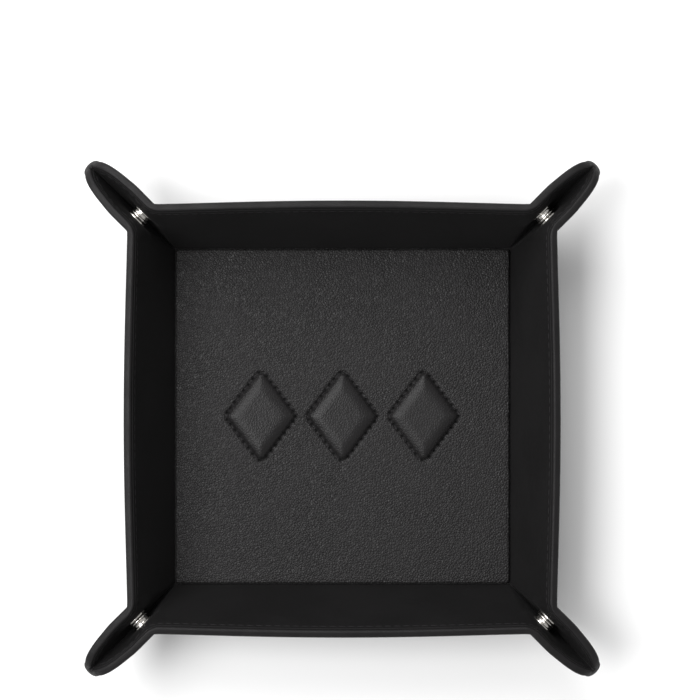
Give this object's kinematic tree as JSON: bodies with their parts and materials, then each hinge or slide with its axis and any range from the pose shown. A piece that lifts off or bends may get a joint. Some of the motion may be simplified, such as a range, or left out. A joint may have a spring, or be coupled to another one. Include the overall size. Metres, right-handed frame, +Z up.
{
  "type": "valet tray",
  "caption": "Square leather valet tray with sloping walls whose corners are pinched into ears by press snaps; unsnapped, it unfolds flat.",
  "frame": {"origin": "on the resting surface, under the middle of the floor", "axes": "+Z up; +X to the right and -Y to the front, each square to a wall"},
  "size_m": [0.2492, 0.2492, 0.0514],
  "materials": {
    "outer_leather": "smooth black calf leather, satin",
    "lining_leather": "smooth black calf leather, matt",
    "grained_leather": "fine pebble-grained black leather, soft satin",
    "stiffener_board": "pressed fibre board, matt",
    "padding_foam": "thin dense foam sheet",
    "snap_metal": "polished nickel plating"
  },
  "bodies": {
    "floor": {"base_leather": "outer_leather", "base_board": "stiffener_board", "base_lining": "lining_leather", "panel_padding": "padding_foam", "floor_panel": "grained_leather", "raised_motif": "grained_leather", "front_crease_leather": "outer_leather", "right_crease_leather": "outer_leather", "back_crease_leather": "outer_leather", "left_crease_leather": "outer_leather"},
    "front_wall": {"front_wall_leather": "outer_leather", "front_wall_board": "stiffener_board", "front_wall_lining": "lining_leather"},
    "right_wall": {"right_wall_leather": "outer_leather", "right_wall_board": "stiffener_board", "right_wall_lining": "lining_leather"},
    "back_wall": {"back_wall_leather": "outer_leather", "back_wall_board": "stiffener_board", "back_wall_lining": "lining_leather"},
    "left_wall": {"left_wall_leather": "outer_leather", "left_wall_board": "stiffener_board", "left_wall_lining": "lining_leather"},
    "front_wall_left_ear": {"front_wall_left_ear_leather": "outer_leather", "front_wall_left_ear_lining": "lining_leather", "front_left_snap_cap": "snap_metal", "front_left_snap_socket": "snap_metal", "front_left_ear_fold_leather": "outer_leather"},
    "front_wall_right_ear": {"front_wall_right_ear_leather": "outer_leather", "front_wall_right_ear_lining": "lining_leather", "front_right_snap_cap": "snap_metal", "front_right_snap_socket": "snap_metal", "front_right_ear_fold_leather": "outer_leather"},
    "right_wall_front_ear": {"right_wall_front_ear_leather": "outer_leather", "right_wall_front_ear_lining": "lining_leather", "front_right_snap_post": "snap_metal", "front_right_snap_stud": "snap_metal"},
    "right_wall_back_ear": {"right_wall_back_ear_leather": "outer_leather", "right_wall_back_ear_lining": "lining_leather", "back_right_snap_post": "snap_metal", "back_right_snap_stud": "snap_metal"},
    "back_wall_right_ear": {"back_wall_right_ear_leather": "outer_leather", "back_wall_right_ear_lining": "lining_leather", "back_right_snap_cap": "snap_metal", "back_right_snap_socket": "snap_metal", "back_right_ear_fold_leather": "outer_leather"},
    "back_wall_left_ear": {"back_wall_left_ear_leather": "outer_leather", "back_wall_left_ear_lining": "lining_leather", "back_left_snap_cap": "snap_metal", "back_left_snap_socket": "snap_metal", "back_left_ear_fold_leather": "outer_leather"},
    "left_wall_back_ear": {"left_wall_back_ear_leather": "outer_leather", "left_wall_back_ear_lining": "lining_leather", "back_left_snap_post": "snap_metal", "back_left_snap_stud": "snap_metal"},
    "left_wall_front_ear": {"left_wall_front_ear_leather": "outer_leather", "left_wall_front_ear_lining": "lining_leather", "front_left_snap_post": "snap_metal", "front_left_snap_stud": "snap_metal"}
  },
  "joints": [
    {"name": "front_wall_fold", "type": "hinge", "parent": "floor", "child": "front_wall", "pos_m": [0, -0.08375, 0.004], "axis": [1, 0, 0], "range_deg": [0, 72], "deforming": ["front_crease_leather"]},
    {"name": "right_wall_fold", "type": "hinge", "parent": "floor", "child": "right_wall", "pos_m": [0.08375, 0, 0.004], "axis": [0, 1, 0], "range_deg": [0, 72], "deforming": ["right_crease_leather"]},
    {"name": "back_wall_fold", "type": "hinge", "parent": "floor", "child": "back_wall", "pos_m": [0, 0.08375, 0.004], "axis": [-1, 0, 0], "range_deg": [0, 72], "deforming": ["back_crease_leather"]},
    {"name": "left_wall_fold", "type": "hinge", "parent": "floor", "child": "left_wall", "pos_m": [-0.08375, 0, 0.004], "axis": [0, -1, 0], "range_deg": [0, 72], "deforming": ["left_crease_leather"]},
    {"name": "front_wall_left_ear_fold", "type": "hinge", "parent": "front_wall", "child": "front_wall_left_ear", "pos_m": [-0.08271, -0.08375, 0.004], "axis": [0.1994, 0.3028, -0.932], "range_deg": [0, 41.24], "deforming": ["front_left_ear_fold_leather"]},
    {"name": "front_wall_right_ear_fold", "type": "hinge", "parent": "front_wall", "child": "front_wall_right_ear", "pos_m": [0.08271, -0.08375, 0.004], "axis": [0.1994, -0.3028, 0.932], "range_deg": [0, 41.24], "deforming": ["front_right_ear_fold_leather"]},
    {"name": "right_wall_front_ear_fold", "type": "hinge", "parent": "right_wall", "child": "right_wall_front_ear", "pos_m": [0.08375, -0.08271, 0.004], "axis": [-0.3028, 0.1994, -0.932], "range_deg": [0, 41.24]},
    {"name": "right_wall_back_ear_fold", "type": "hinge", "parent": "right_wall", "child": "right_wall_back_ear", "pos_m": [0.08375, 0.08271, 0.004], "axis": [0.3028, 0.1994, 0.932], "range_deg": [0, 41.24]},
    {"name": "back_wall_right_ear_fold", "type": "hinge", "parent": "back_wall", "child": "back_wall_right_ear", "pos_m": [0.08271, 0.08375, 0.004], "axis": [-0.1994, -0.3028, -0.932], "range_deg": [0, 41.24], "deforming": ["back_right_ear_fold_leather"]},
    {"name": "back_wall_left_ear_fold", "type": "hinge", "parent": "back_wall", "child": "back_wall_left_ear", "pos_m": [-0.08271, 0.08375, 0.004], "axis": [-0.1994, 0.3028, 0.932], "range_deg": [0, 41.24], "deforming": ["back_left_ear_fold_leather"]},
    {"name": "left_wall_back_ear_fold", "type": "hinge", "parent": "left_wall", "child": "left_wall_back_ear", "pos_m": [-0.08375, 0.08271, 0.004], "axis": [0.3028, -0.1994, -0.932], "range_deg": [0, 41.24]},
    {"name": "left_wall_front_ear_fold", "type": "hinge", "parent": "left_wall", "child": "left_wall_front_ear", "pos_m": [-0.08375, -0.08271, 0.004], "axis": [-0.3028, -0.1994, 0.932], "range_deg": [0, 41.24]}
  ],
  "couplings": [
    {"joint": "right_wall_fold", "follows": "front_wall_fold", "ratio": 1},
    {"joint": "back_wall_fold", "follows": "front_wall_fold", "ratio": 1},
    {"joint": "left_wall_fold", "follows": "front_wall_fold", "ratio": 1},
    {"joint": "front_wall_left_ear_fold", "follows": "front_wall_fold", "ratio": 0.57275},
    {"joint": "front_wall_right_ear_fold", "follows": "front_wall_fold", "ratio": 0.57275},
    {"joint": "right_wall_front_ear_fold", "follows": "front_wall_fold", "ratio": 0.57275},
    {"joint": "right_wall_back_ear_fold", "follows": "front_wall_fold", "ratio": 0.57275},
    {"joint": "back_wall_right_ear_fold", "follows": "front_wall_fold", "ratio": 0.57275},
    {"joint": "back_wall_left_ear_fold", "follows": "front_wall_fold", "ratio": 0.57275},
    {"joint": "left_wall_back_ear_fold", "follows": "front_wall_fold", "ratio": 0.57275},
    {"joint": "left_wall_front_ear_fold", "follows": "front_wall_fold", "ratio": 0.57275}
  ]
}
